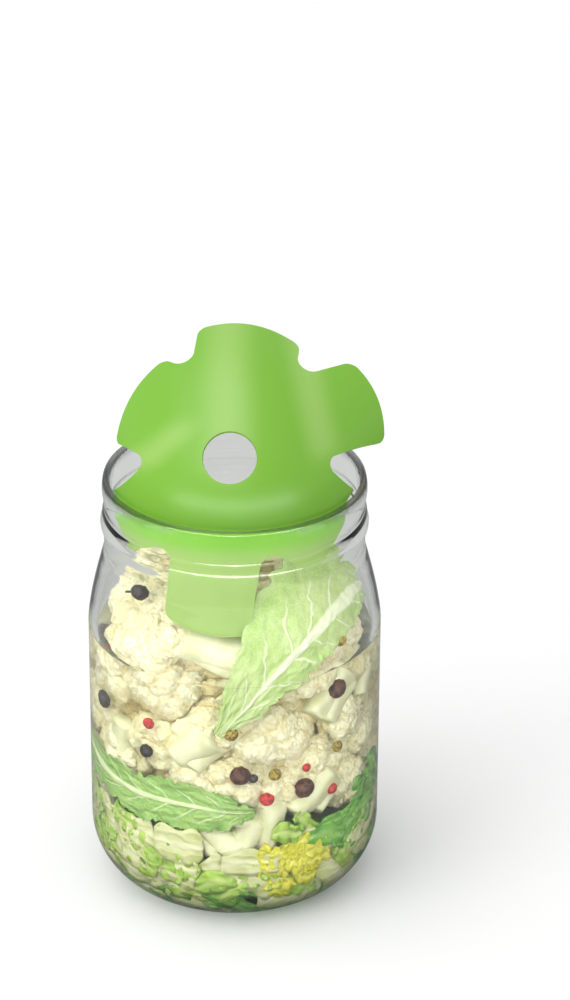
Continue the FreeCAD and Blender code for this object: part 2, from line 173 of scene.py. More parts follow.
class Finish:
    """A material built node by node."""

    def __init__(self, name):
        self.material = bpy.data.materials.new(name)
        self.material.use_nodes = True
        self.tree = self.material.node_tree
        self.tree.nodes.clear()
        self.out = self.node("OutputMaterial")

    def node(self, kind, settings={}, values={}):
        """A node of any kind: its settings first, then what goes into its sockets."""
        node = self.tree.nodes.new("ShaderNode" + kind)
        for key, setting in settings.items():
            setattr(node, key, setting)
        for key, value in values.items():
            self.join(node.inputs[key], value)
        return node

    def join(self, socket, value):
        """Links a value to a socket, or sets the socket to a plain one."""
        if isinstance(value, Value):
            value = value.socket
        if isinstance(value, bpy.types.NodeSocket):
            self.tree.links.new(value, socket)
        else:
            socket.default_value = value

    def value(self, kind, settings={}, values={}, output=0):
        return Value(self, self.node(kind, settings, values).outputs[output])

    def place(self):
        """Object coordinates."""
        return self.node("TexCoord").outputs["Object"]

    def along(self, axis):
        """One of the object coordinates: 0 is to the right and 2 is up."""
        return self.value("SeparateXYZ", {}, {0: self.place()}, axis)

    def ray(self, kind):
        """1 for one kind of ray, such as Is Glossy Ray, and 0 for the others."""
        return self.value("LightPath", {}, {}, kind)

    def larger(self, first, second):
        return self.value("Math", {"operation": "MAXIMUM"}, {0: first, 1: second})

    def band(self, fac, low, high):
        """0 below low, 1 above high and smooth between."""
        values = {0: fac, 1: low, 2: high, 3: 0.0, 4: 1.0}
        return self.value("MapRange", {"interpolation_type": "SMOOTHSTEP"}, values)

    def noise(self, scale, detail):
        """Soft clouds, finer with a larger scale."""
        return self.value("TexNoise", {}, {"Vector": self.place(), "Scale": scale, "Detail": detail})

    def cells(self, scale, feature="F1"):
        """Distances in a pattern of small cells."""
        values = {"Vector": self.place(), "Scale": scale}
        return self.value("TexVoronoi", {"feature": feature}, values, "Distance")

    def blend(self, fac, a, b):
        """Colour a where fac is 0, b where it is 1."""
        node = self.node("Mix", {"data_type": "RGBA"}, {0: fac, 6: a, 7: b})
        return node.outputs[2]

    def bump(self, height, strength, distance):
        """A normal for fine relief; the distance is in metres."""
        values = {"Height": height, "Strength": strength, "Distance": distance}
        return self.node("Bump", {}, values).outputs["Normal"]

    def skin(self, values):
        """The surface shader; its settings are by socket name."""
        shader = self.node("BsdfPrincipled", {}, values)
        self.join(self.out.inputs["Surface"], shader.outputs[0])
        return shader

    def let_through(self, share, body, colour):
        """Mixes an open way for light into the surface shader, by a share from 0 to 1."""
        open_way = self.node("BsdfTransparent", {}, {"Color": colour})
        both = self.node("MixShader", {}, {0: share, 1: body.outputs[0], 2: open_way.outputs[0]})
        self.join(self.out.inputs["Surface"], both.outputs[0])


WHITE = (1, 1, 1, 1)
CLEAR_WAY = (0.99, 0.995, 0.99, 1)
GLASS_TINT = (0.72, 0.90, 0.74, 1)
RIM_FROM_Z = 156.0
RIM_RUN = 4
RIM_OPEN = 0.35


def clear_finish(name, ior, tint, density, rim_from=None):
    """A clear body: refracts, lets light through to what is inside, and takes its tint from its depth.
    A rounded rim, from that height up, is part open, so that it doesn't show as a dark ring."""
    finish = Finish(name)
    body = finish.skin({"Base Color": WHITE, "Transmission Weight": 1.0, "Roughness": 0.0, "IOR": ior})
    through = finish.ray("Is Shadow Ray")
    if rim_from:
        rim = finish.band(finish.along(2), rim_from * MM, (rim_from + RIM_RUN) * MM)
        through = finish.larger(RIM_OPEN * rim, through)
    finish.let_through(through, body, CLEAR_WAY)
    depth = finish.node("VolumeAbsorption", {}, {"Color": tint, "Density": density})
    finish.join(finish.out.inputs["Volume"], depth.outputs[0])
    return finish.material


def dress(piece, material, slot, *nodes):
    """Gives a finished piece its material and its place in the object."""
    piece.data.materials.clear()
    piece.data.materials.append(material)
    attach(piece, "root")
    if nodes:
        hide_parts(*nodes)


dress(jar, clear_finish("jar_glass", 1.48, GLASS_TINT, 30.0, RIM_FROM_Z), "clear_glass", "jar")

# Brine: clear salt water that fills the jar up to the shoulder, with a level surface that
# creeps a little up the glass. It reaches just into the wall, so that no air shows between.

BRINE_Z = 103.0
INTO_WALL = 0.12
BRINE_TINT = (0.93, 0.90, 0.62, 1)
# how far in from the wall, and how far below the level
CREEP = [(-INTO_WALL, 0.2), (0.05, 0.15), (0.6, 0.55), (1.8, 0.9), (5, 1.0), (INNER_R, 1.0)]
brine_outline = [p for p in inner_wall(-INTO_WALL) if p[1] < BRINE_Z - 1]
brine_outline += [(INNER_R - inward, BRINE_Z - below) for inward, below in CREEP]
brine = turned_piece("brine_body", brine_outline, 144)
dress(brine, clear_finish("salt_water", 1.33, BRINE_TINT, 9.0), "brine", "brine")

# Insert: one flexible sheet of green plastic, cut as a disc with six tabs and a finger hole. It is
# bent as it goes into the neck, with its lower tabs inside the glass. Satin, with a fine even grain,
# and it lets some light through. Its paler bands along three ridges are painted highlights, and it
# is painted paler where it hangs inside the neck, as a painted haze of reflections in the glass.

# each painted highlight band on a ridge: where it crosses RIDGE_Z (to the right), its lean, half its width,
# its foot and its top
HIGHLIGHT_RIDGES = [(-2.5, 0, 13, 172, 210), (31, -0.3, 9, 174, 210), (-28, 1.1, 8, 170, 186)]
RIDGE_Z = 180
RIDGE_PAINTED_HIGHLIGHT = 0.45
PAINTED_HAZE_SHARE = 0.7
PAINTED_HAZE_LOW = 148
PAINTED_HAZE_HIGH = 156
LIGHT_PASSED = 0.45


def tone(red, green, blue):
    """A colour from 0-255 display values."""
    parts = [v / 255 for v in (red, green, blue)]
    return tuple(p / 12.92 if p < 0.04045 else ((p + 0.055) / 1.055) ** 2.4 for p in parts) + (1.0,)


green = Finish("green_sheet")
grain = green.noise(2600.0, 2.0)
sheet_green = green.blend(green.noise(18.0, 2.0), tone(112, 174, 38), tone(120, 180, 46))
across = green.along(0)
height = green.along(2)
# painted highlights: a paler green in soft bands along the ridges, where lamps would give a sheen
for side, lean, half, foot, top in HIGHLIGHT_RIDGES:
    off = abs(across - side * MM - lean * (height - RIDGE_Z * MM))
    painted_highlight = (1.0 - green.band(off, 0.0, half * MM)) * green.band(height, foot * MM, (foot + 9) * MM)
    painted_highlight = painted_highlight * (1.0 - green.band(height, top * MM, (top + 8) * MM))
    sheet_green = green.blend(RIDGE_PAINTED_HIGHLIGHT * painted_highlight, sheet_green, tone(172, 206, 118))
# painted reflection: below the neck's top the sheet is blended paler, as a haze of reflections in the glass
painted_haze = 1.0 - green.band(height, PAINTED_HAZE_LOW * MM, PAINTED_HAZE_HIGH * MM)
sheet_green = green.blend(PAINTED_HAZE_SHARE * painted_haze, sheet_green, tone(160, 178, 110))
surface = green.skin({"Base Color": sheet_green, "Roughness": 0.30 + 0.06 * grain, "IOR": 1.5,
                      "Normal": green.bump(grain, 0.15, 0.0002)})
green.let_through(LIGHT_PASSED * green.ray("Is Shadow Ray"), surface, tone(206, 232, 160))
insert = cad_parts["insert"]
insert.data.materials.clear()
insert.data.materials.append(green.material)

# Cauliflower: florets packed into the jar. Each is a head of cream curd, made of lobes that are
# covered in small buds, on a smooth pale stalk that forks. Those at the wall are pressed on the glass.

LOBE_OUT = (0.52, 0.66)
LOBE_SIZE = (0.36, 0.47)
KNOB_SIZE = (1.9, 2.9)
BUD_SIZE = (0.75, 1.2)
HEAD_HEIGHT = 0.9
FREE_R = 34
EASE = 1.2
EASE_RUN = 2.0
SHOULDER_IN = shoulder(INNER_R, BORE_R)


def wall_radius(z):
    """Radius in mm of the inside wall at a height in mm."""
    low = FLOOR_Z + INNER_HEEL
    if z < low:
        return INNER_R - INNER_HEEL + math.sqrt(max(INNER_HEEL**2 - (low - z) ** 2, 0.0))
    if z < SHOULDER_Z:
        return INNER_R
    for (r0, z0), (r1, z1) in zip(SHOULDER_IN, SHOULDER_IN[1:]):
        if z <= z1:
            return r0 + (r1 - r0) * (z - z0) / (z1 - z0)
    return BORE_R


def even_directions(count, jitter, rng):
    """Directions spread evenly over a ball, each moved a little."""
    golden_turn = 2.399963
    i = np.arange(count) + 0.5
    lift = 1 - 2 * i / count
    turn = i * golden_turn + rng.uniform(0, 6.28)
    flat = np.sqrt(1 - lift * lift)
    dirs = np.stack([flat * np.cos(turn), flat * np.sin(turn), lift], 1)
    dirs += rng.normal(0, jitter, dirs.shape)
    return dirs / np.linalg.norm(dirs, axis=1, keepdims=True)


def reach_over(dirs, centres, sizes):
    """How far out a cluster of balls reaches in each direction, and how far from a crease that is."""
    along = dirs @ centres.T
    square = along**2 - (centres**2).sum(1) + sizes**2
    far = np.where(square > 0, along + np.sqrt(np.maximum(square, 0)), 0.0)
    ranked = np.partition(far, -2, axis=1)
    return ranked[:, -1], ranked[:, -1] - ranked[:, -2]


def unit_ball(detail):
    """Points and faces of a finely divided ball, to be shaped."""
    put_down()
    bpy.ops.mesh.primitive_ico_sphere_add(subdivisions=detail, radius=1)
    ball = bpy.context.object
    mesh = ball.data
    points = np.empty(len(mesh.vertices) * 3)
    mesh.vertices.foreach_get("co", points)
    faces = np.empty(len(mesh.polygons) * 3, dtype=int)
    mesh.polygons.foreach_get("vertices", faces)
    bpy.data.objects.remove(ball)
    points = points.reshape(-1, 3)
    return points / np.linalg.norm(points, axis=1, keepdims=True), faces.reshape(-1, 3)


FINE_BALL = unit_ball(6)
PLAIN_BALL = unit_ball(5)


def on_wall(deg, r, z):
    """A place in mm from an angle round the jar (0 faces the viewer), a radius and a height."""
    a = math.radians(deg)
    return np.array([r * math.sin(a), -r * math.cos(a), z])


def press_in(points, gap):
    """Presses what would pass the glass against it, softly, so that a part of its relief is kept."""
    out = points.copy()
    r = np.hypot(points[:, 0], points[:, 1])
    for i in np.nonzero(r > FREE_R)[0]:
        near = wall_radius(points[i, 2]) - gap - EASE
        if r[i] > near:
            out[i, :2] *= (near + EASE * math.tanh((r[i] - near) / EASE_RUN)) / r[i]
    out[:, 2] = np.maximum(out[:, 2], FLOOR_Z + gap)
    return out


def curd_head(centre, size, up, seed, ball=FINE_BALL):
    """One head of curd, of lobes with knobs on them and buds on those, plain where it faces down:
    points in mm, faces, and how deep in a crease each point is."""
    rng = np.random.default_rng(seed)
    dirs, faces = ball
    up = np.array(up, float)
    up /= np.linalg.norm(up)
    count = max(9, int(round(size * 1.05)))
    lobes = even_directions(count, 0.2, rng) * size * rng.uniform(*LOBE_OUT, (count, 1))
    lobe_size = size * rng.uniform(*LOBE_SIZE, count)
    lobe_reach, lobe_gap = reach_over(dirs, lobes, lobe_size)
    knob_count = int(3.6 * (size / 3.0) ** 2)
    knob_dirs = even_directions(knob_count, 0.09, rng)
    knob_base, _ = reach_over(knob_dirs, lobes, lobe_size)
    knob_size = rng.uniform(*KNOB_SIZE, knob_count)
    knobs = knob_dirs * (np.maximum(knob_base, size * 0.7) - 0.7 * knob_size)[:, None]
    knob_reach, knob_gap = reach_over(dirs, knobs, knob_size)
    bud_count = int(1.5 * size**2)
    bud_dirs = even_directions(bud_count, 0.035, rng)
    on_knobs = reach_over(bud_dirs, knobs, knob_size)[0]
    on_lobes = reach_over(bud_dirs, lobes, lobe_size)[0]
    bud_base = np.maximum(on_knobs, on_lobes)
    bud_size = rng.uniform(*BUD_SIZE, bud_count)
    buds = bud_dirs * (np.maximum(bud_base, size * 0.7) - 0.62 * bud_size)[:, None]
    bud_reach, bud_gap = reach_over(dirs, buds, bud_size)
    reach = np.maximum(np.maximum(bud_reach, knob_reach), np.maximum(lobe_reach, size * 0.66))
    under = np.clip((-0.3 - dirs @ up) / 0.35, 0, 1)
    reach = reach * (1 - under) + under * np.minimum(reach, size * 0.6)
    points = dirs * reach[:, None]
    points = points - np.outer((points @ up) * (1 - HEAD_HEIGHT), up)
    crease = 0.55 * np.clip(1 - lobe_gap / 0.9, 0, 1) + 0.25 * np.clip(1 - knob_gap / 0.35, 0, 1)
    crease += 0.16 * np.clip(1 - bud_gap / 0.2, 0, 1)
    return points + centre, faces, np.clip(crease, 0, 1) * (1 - under)


def stalk_tube(start, end, r_start, r_end, seed, bend=0.0, sides=22, rings=20):
    """A smooth tapered stalk in mm between two places; its start is a cut face with a rounded edge."""
    edge_shrink = (0.86, 0.965)
    start = np.array(start, float)
    end = np.array(end, float)
    way = end - start
    length = np.linalg.norm(way)
    way /= length
    side = np.cross(way, (0.3, 0.2, 1.0))
    side /= np.linalg.norm(side)
    other = np.cross(way, side)
    points = []
    for i in range(rings + 1):
        t = i / rings
        r = r_start + (r_end - r_start) * t**1.6
        if i < len(edge_shrink):
            r *= edge_shrink[i]
        middle = start + way * length * t + side * bend * math.sin(math.pi * t)
        for j in range(sides):
            a = math.tau * j / sides
            at = Vector((math.cos(a) * 1.1 + seed, math.sin(a) * 1.1, t * 1.6))
            lump = 1 + 0.16 * noise.noise(at) + 0.035 * math.sin(5 * a + seed + 2 * t)
            points.append(middle + (side * math.cos(a) + other * math.sin(a)) * r * lump)
    faces = []
    for i in range(rings):
        for j in range(sides):
            a = i * sides + j
            b = i * sides + (j + 1) % sides
            faces += [(a, b, b + sides), (a, b + sides, a + sides)]
    points += [start + way * 0.3, end + way * r_end * 0.4]
    last = rings * sides
    for j in range(sides):
        faces.append((len(points) - 2, (j + 1) % sides, j))
        faces.append((len(points) - 1, last + j, last + (j + 1) % sides))
    return np.array(points), np.array(faces), np.zeros(len(points))


def joined_piece(name, bits):
    """Joins (points, faces, crease) bits in mm into one smooth piece."""
    points, faces, creases = [], [], []
    count = 0
    for p, f, c in bits:
        points.append(p)
        faces.append(f + count)
        creases.append(c)
        count += len(p)
    points = np.concatenate(points)
    faces = np.concatenate(faces)
    crease = np.concatenate(creases)
    mesh = bpy.data.meshes.new(name)
    mesh.vertices.add(len(points))
    mesh.vertices.foreach_set("co", (points * MM).ravel())
    mesh.loops.add(len(faces) * 3)
    mesh.loops.foreach_set("vertex_index", faces.ravel())
    mesh.polygons.add(len(faces))
    mesh.polygons.foreach_set("loop_start", np.arange(len(faces)) * 3)
    mesh.polygons.foreach_set("use_smooth", np.ones(len(faces), dtype=bool))
    mesh.update(calc_edges=True)
    layer = mesh.color_attributes.new("crease", "FLOAT_COLOR", "POINT")
    shade = np.ones((len(points), 4))
    shade[:, :3] = crease[:, None]
    layer.data.foreach_set("color", shade.ravel())
    piece = bpy.data.objects.new(name, mesh)
    bpy.context.collection.objects.link(piece)
    return piece


def curd_finish(name, light, deep):
    """Cream curd: soft patches and small specks, with painted shade as a tan in the creases and between
    buds.
    """
    finish = Finish(name)
    crease = finish.value("Attribute", {"attribute_name": "crease"}, {}, "Fac")
    fine = finish.cells(1250.0)
    bud = finish.cells(640.0)
    cream = finish.blend(finish.band(finish.noise(48.0, 3.0), 0.36, 0.66), light, deep)
    speck = finish.band(finish.noise(300.0, 2.0), 0.60, 0.74)
    cream = finish.blend(0.3 * speck, cream, tone(222, 206, 152))
    # painted shade: tan where the creases are deep, and between the buds at the edges of the cells
    cream = finish.blend(finish.band(crease, 0.05, 0.95) * 0.8, cream, tone(212, 190, 128))
    cream = finish.blend(finish.band(bud, 0.5, 0.85) * 0.5, cream, tone(214, 194, 138))
    relief = finish.bump(1.0 - 0.7 * bud - 0.3 * fine, 0.55, 0.0011)
    finish.skin({"Base Color": cream, "Roughness": 0.5, "IOR": 1.36, "Normal": relief})
    return finish.material


curd = curd_finish("curd_cream", tone(238, 233, 204), tone(226, 218, 178))
# the heads deep inside the jar get a darker tan copy of the curd: painted shade
painted_shade_curd = curd_finish("curd_painted_shade", tone(230, 217, 174), tone(214, 197, 146))

pith = Finish("stalk_white")
streak = pith.noise(150.0, 4.0)
pale = pith.blend(pith.band(streak, 0.35, 0.7), tone(226, 223, 188), tone(208, 207, 162))
pith.skin({"Base Color": pale, "Roughness": 0.4, "IOR": 1.38, "Normal": pith.bump(streak, 0.25, 0.0006)})

# angle round the jar, height, size, lean of the head (out, along, up), seed
FRONT_HEADS = [
    (-55, 107, 12.5, (0.8, 0, 0.5), 1), (-40, 95, 16.0, (0.9, 0, 0.2), 2),
    (-74, 92, 14.0, (0.9, 0, 0.2), 3), (-38, 73, 12.5, (0.9, 0, 0.1), 4),
    (-13, 81, 12.0, (0.7, 0, 0.6), 5), (16, 78, 16.0, (0.9, 0, 0.3), 6),
    (0, 60, 12.5, (0.9, 0, 0.2), 7), (-20, 60, 10.5, (0.8, 0, 0.3), 8),
    (40, 62, 12.5, (0.8, 0, 0.4), 9), (58, 53, 10.5, (0.9, 0.2, 0.2), 10),
    (72, 68, 14.0, (0.9, 0, 0.1), 11), (78, 94, 15.0, (0.9, 0, 0.2), 12),
    (56, 107, 13.0, (0.9, 0, 0.4), 13), (36, 101, 13.0, (0.8, 0, 0.4), 14),
    (-32, 112, 9.5, (0.7, -0.3, 0.6), 15), (-62, 63, 12.0, (0.9, 0, 0.1), 16),
    (-84, 72, 13.5, (0.9, 0, 0.1), 17), (20, 56, 9.5, (0.9, 0, 0.2), 19),
    (-82, 48, 11.5, (0.9, 0, 0.1), 20), (88, 50, 11.0, (0.9, 0, 0.2), 21),
    (57, 78, 10.5, (0.9, 0, 0.3), 22), (66, 46, 10.5, (0.9, 0, 0.1), 18),
    (-79, 103, 13.0, (0.9, 0, 0.4), 23), (77, 104, 13.0, (0.9, 0, 0.4), 24),
]
BACK_RINGS = [(46, 13.5), (68, 14.5), (90, 14.5), (109, 12.5)]
BACK_LEAN = (0.9, 0, 0.25)
INNER_RINGS = (54, 70, 86, 100, 108)
INNER_LEAN = (0.9, 0, 0.4)
WALL_REACH = 48.3
INNER_REACH = 40.0
SEEN_FROM_Z = 96
BURIED = 0.74

BACK_HEADS = []
for ring, (z, size) in enumerate(BACK_RINGS):
    for i in range(6):
        deg = 110 + i * 27.5 + (ring % 2) * 12 + (i * 7 + ring * 5) % 9 - 4
        if ring > 0:
            lift = (i * 5 + ring * 3) % 8 - 4
        elif deg > 150:
            lift = -7 * math.sin(math.radians(deg - 150)) ** 2
        else:
            lift = 2
        head_size = size + (i * 3 + ring) % 4 - 2
        BACK_HEADS.append((deg, z + lift, head_size, BACK_LEAN, 40 + ring * 10 + i))
INNER_HEADS = []
for ring, z in enumerate(INNER_RINGS):
    for i in range(9):
        deg = i * 40 + (ring % 2) * 20
        INNER_HEADS.append((deg, z, 13.0 - (i % 3), INNER_LEAN, 100 + ring * 10 + i))


def wall_head(spot, reach, ball):
    """A head that reaches out to a radius, and is pressed in where it passes the glass."""
    deg, z, size, (out, along, lift), seed = spot
    a = math.radians(deg)
    r = reach - size
    up = (out * math.sin(a) + along * math.cos(a), -out * math.cos(a) + along * math.sin(a), lift)
    centre = on_wall(deg, r, z)
    points, faces, shade = curd_head(centre, size, up, seed, ball)
    return press_in(points, 0.4), faces, shade, centre, size


def bare(heads, inside):
    """Leaves off what can't be seen of the heads: faces deep in the heap or buried in other heads."""
    kept = []
    for points, faces, shade, centre, size in heads:
        r = np.hypot(points[:, 0], points[:, 1])
        hidden = (r < inside) & (points[:, 2] < SEEN_FROM_Z)
        for _, _, _, other, other_size in heads:
            if other is not centre and np.linalg.norm(other - centre) < size + other_size:
                hidden |= np.linalg.norm(points - other, axis=1) < BURIED * other_size
        faces = faces[~hidden[faces].all(axis=1)]
        used = np.unique(faces)
        place = np.full(len(points), -1)
        place[used] = np.arange(len(used))
        kept.append((points[used], place[faces], shade[used]))
    return kept


def wall_stalk(cut, head, seed, bend):
    """A stalk from its cut end to inside its head, each as (angle, radius, height, thickness)."""
    bit = stalk_tube(on_wall(*cut[:3]), on_wall(*head[:3]), cut[3], head[3], seed, bend)
    return press_in(bit[0], 0.45), bit[1], bit[2]


# the heads, the radius that they reach, the radius inside which they can't be seen, and their detail
HEAD_GROUPS = {
    "florets_front_low": ([h for h in FRONT_HEADS if h[1] < 75], WALL_REACH, 32, FINE_BALL),
    "florets_front_high": ([h for h in FRONT_HEADS if h[1] >= 75], WALL_REACH, 29, FINE_BALL),
    "florets_back_low": ([h for h in BACK_HEADS if h[1] < 85], WALL_REACH, 31, PLAIN_BALL),
    "florets_back_high": ([h for h in BACK_HEADS if h[1] >= 85], WALL_REACH, 31, PLAIN_BALL),
    "florets_inside": (INNER_HEADS, INNER_REACH, 30, PLAIN_BALL),
}
for name, (heads, reach, inside, ball) in HEAD_GROUPS.items():
    piece = joined_piece(name, bare([wall_head(h, reach, ball) for h in heads], inside))
    dress(piece, painted_shade_curd if name == "florets_inside" else curd, "cauliflower")

# cut end (angle, radius, height, thickness), end in the head (the same), seed, bend
WALL_STALKS = [
    ((7, 41, 109, 7.0), (-24, 40, 113, 6.0), 1, 1.0), ((2, 42, 105, 4.5), (-24, 40, 112, 4.0), 2, 0.0),
    ((-27, 43, 69, 5.0), (-12, 40, 80, 8.5), 3, 1.0), ((-19, 44, 67, 4.0), (-10, 40, 77, 6.0), 4, 0.0),
    ((37, 42, 84, 4.5), (56, 40, 96, 8.0), 5, 0.0), ((44, 43, 80, 3.8), (58, 41, 92, 6.0), 6, 0.0),
    ((4, 41, 88, 3.5), (-1, 38, 96, 6.0), 7, 0.0), ((26, 43, 47, 5.0), (46, 40, 58, 8.5), 8, 1.0),
    ((38, 43, 45, 3.6), (52, 40, 54, 5.5), 9, 0.0), ((14, 42, 33, 3.8), (17, 40, 52, 6.5), 10, -1.0),
    ((68, 43, 82, 4.0), (74, 41, 92, 6.0), 11, 0.0), ((-57, 43, 76, 4.0), (-62, 40, 64, 7.0), 12, 0.0),
    ((-68, 43, 34, 4.0), (-78, 40, 47, 6.5), 13, 1.0), ((-84, 43, 31, 3.6), (-86, 40, 46, 6.0), 14, 0.0),
    ((-50, 42, 44, 3.4), (-58, 40, 58, 6.0), 15, 0.0), ((84, 43, 37, 3.6), (88, 40, 50, 6.0), 16, 0.0),
    ((128, 43, 60, 4.2), (121, 40, 74, 7.0), 17, 1.0), ((176, 43, 84, 4.5), (186, 40, 95, 7.5), 18, 0.0),
    ((236, 43, 63, 4.0), (226, 40, 74, 6.5), 19, 0.0), ((158, 43, 40, 4.2), (165, 40, 52, 6.5), 20, 0.0),
    ((212, 43, 38, 4.0), (208, 40, 52, 6.5), 21, 1.0),
]
stalks = joined_piece("floret_stalks", [wall_stalk(*s) for s in WALL_STALKS])
dress(stalks, pith.material, "cauliflower")

# The heart of the heap: the cut stalks and small florets in the middle of the jar, which only show
# in the gaps between the heads at the glass. Its pale tan is painted shade for where little light
# comes, and its cream top, under the neck, is painted light.

HEART_R = 27.0
HEART_Z = 79
HEART_PAINTED_LIGHT_Z = (96, 108)
core_dirs, core_faces = PLAIN_BALL
core_size = np.array([HEART_R + 2.5 * noise.noise(Vector(d * 3)) for d in core_dirs])
barrel = np.sign(core_dirs) * np.abs(core_dirs) ** 0.7 * core_size[:, None]
core_points = barrel * (1, 1, 1.3) + (0, 0, HEART_Z)
core = joined_piece("heap_core", [(core_points, core_faces, np.zeros(len(core_dirs)))])
heart = Finish("heart_painted_shade_and_light")
depth = heart.noise(70.0, 4.0)
tan = heart.blend(heart.band(depth, 0.3, 0.7), tone(186, 162, 98), tone(214, 194, 134))
# painted light: the heart turns cream at its top, under the neck
high = heart.band(heart.along(2), HEART_PAINTED_LIGHT_Z[0] * MM, HEART_PAINTED_LIGHT_Z[1] * MM)
heart.skin({"Base Color": heart.blend(high, tan, tone(230, 222, 184)),
            "Roughness": 0.7, "Normal": heart.bump(depth, 0.6, 0.003)})
dress(core, heart.material, "cauliflower", "cauliflower_heap")

# Top florets: five heads of the same curd, each one a piece of its own, set in a ring on the heap.
# They stand out of the brine under the neck and lean a little outwards.

# angle round the jar, height, radius, size, seed
TOP_HEADS = [
    (-58, 117, 27, 13.0, 21), (10, 117, 26, 12.5, 22), (85, 116, 25, 13.0, 23), (150, 117, 25, 13.0, 24),
    (216, 117, 26, 13.0, 25),
]
for number, (deg, z, r, size, seed) in enumerate(TOP_HEADS, 1):
    a = math.radians(deg)
    lean = (0.5 * math.sin(a), -0.5 * math.cos(a), 0.8)
    points, faces, crease = curd_head(on_wall(deg, r, z), size, lean, seed)
    head = joined_piece("top_floret_%d" % number, [(press_in(points, 0.6), faces, crease)])
    dress(head, curd, "cauliflower", "floret_%d" % number)

# Stalk piece: a forked length of white stalk, cut off across its foot, that lies at the glass among
# the greens. Its two arms bend round towards each other at the top, and a short one hangs down.

# one end (angle, radius, height, thickness), the other end (the same), seed, bend
FORK = [
    ((4, 43, 25.5, 5.2), (-1, 42, 36, 6.4), 31, 0.0), ((-1, 42, 34, 6.4), (-15, 43, 44, 3.6), 32, 1.0),
    ((0, 42, 34, 6.0), (10, 43, 46, 4.2), 33, -1.0), ((-14, 43, 43, 3.6), (-3, 44, 48, 3.0), 34, 0.0),
    ((10, 43, 44, 4.0), (-2, 44, 49, 3.0), 35, 0.0), ((-16, 43, 41, 3.4), (-9, 44, 33, 3.2), 36, 0.0),
]
forked = joined_piece("forked_stalk", [wall_stalk(*s) for s in FORK])
dress(forked, pith.material, "cauliflower", "stalk_piece")

# Leaves: two small cauliflower leaves slipped down between the florets and the glass. Each has a
# broad white midrib, side veins, a bright blade and a finely toothed, slightly curled edge.

LEAF_GAP = 0.6
LEAF_ROOM = 0.75
LEAF_NEAREST = 0.22
LEAF_THICK = 0.55
LEAF_FREE_Z = 118.0
LEAF_DROOP = 0.25
LEAF_STEPS = 150
RIB_RISE = 0.75
RIB_HALF = 0.10
VEIN_RISE = 0.22
VEIN_COUNT = 8.0


def curve_through(marks, steps):
    """Even points on a smooth line through the marks."""
    marks = np.array(marks, float)
    wide = np.vstack([2 * marks[0] - marks[1], marks, 2 * marks[-1] - marks[-2]])
    points = []
    for i in range(steps + 1):
        t = i / steps * (len(marks) - 1)
        k = min(int(t), len(marks) - 2)
        s = t - k
        a, b, c, d = wide[k:k + 4]
        square = (2 * a - 5 * b + 4 * c - d) * s**2
        cube = (3 * b - a - 3 * c + d) * s**3
        points.append(0.5 * (2 * b + (c - a) * s + square + cube))
    return np.array(points)


def leaf_piece(name, rib, halves, side_shift, seed, spread):
    """A leaf laid on the inside wall, from its tip along the rib; its upper side may spread wider. The
    UV map runs along and across it."""
    marks = [(math.radians(deg) * INNER_R, z, half) for (deg, z), half in zip(rib, halves)]
    path = curve_through(marks, LEAF_STEPS)
    put_down()
    bpy.ops.mesh.primitive_grid_add(x_subdivisions=LEAF_STEPS, y_subdivisions=60, size=2, calc_uvs=True)
    leaf = bpy.context.object
    leaf.name = name
    mesh = leaf.data
    for vert in mesh.vertices:
        t = (vert.co.x + 1) / 2
        v = vert.co.y
        i = min(t * LEAF_STEPS, LEAF_STEPS - 1e-6)
        k = int(i)
        here = path[k] * (1 - i + k) + path[k + 1] * (i - k)
        way = path[min(k + 2, LEAF_STEPS)] - path[max(k - 1, 0)]
        way = way[:2] / np.linalg.norm(way[:2])
        tooth = noise.noise(Vector((t * 30, v * 2 + seed, seed)))
        tooth += 0.7 * noise.noise(Vector((t * 80, seed, v)))
        half = here[2] * (1 + 0.10 * noise.noise(Vector((t * 6, seed, 0.3 + (v > 0)))))
        if v > 0:
            half *= 1 + spread * math.exp(-(((t - 0.55) / 0.25) ** 2))
        w = v * half + (v**6) * tooth * (1.9 if v > 0 else -1.9)
        s = here[0] - way[1] * w
        h = here[1] + way[0] * w
        rib_line = v - side_shift
        vein = abs(((t * VEIN_COUNT - abs(rib_line) * 1.3) % 1) - 0.5) * 2
        relief = RIB_RISE * math.exp(-((rib_line / RIB_HALF) ** 2))
        relief += VEIN_RISE * max(0, 1 - (1 - vein) * 5) * (1 - abs(v) ** 3)
        curl = 0.9 * noise.noise(Vector((t * 14, v * 3.6, seed)))
        curl += 0.5 * noise.noise(Vector((t * 34, v * 8, seed)))
        curl += 1.2 * abs(v) ** 3 * noise.noise(Vector((t * 26, seed, v)))
        a = s / INNER_R
        wall = wall_radius(h)
        droop = LEAF_DROOP * max(h - LEAF_FREE_Z, 0)
        r = wall - LEAF_GAP - LEAF_ROOM + curl * 0.8 + relief * 0.4 - droop
        r = min(r, wall - LEAF_NEAREST)
        vert.co = Vector((r * math.sin(a), -r * math.cos(a), h)) * MM
    pick(leaf)
    solid = leaf.modifiers.new("thickness", "SOLIDIFY")
    solid.thickness = LEAF_THICK * MM
    solid.offset = -1
    bpy.ops.object.mode_set(mode="EDIT")
    bpy.ops.mesh.select_all(action="SELECT")
    bpy.ops.mesh.normals_make_consistent(inside=False)
    bpy.ops.object.mode_set(mode="OBJECT")
    middle = mesh.polygons[len(mesh.polygons) // 2]
    if middle.normal.x * middle.center.x + middle.normal.y * middle.center.y < 0:
        mesh.flip_normals()
    bpy.ops.object.modifier_apply(modifier="thickness")
    bpy.ops.object.shade_smooth()
    return leaf


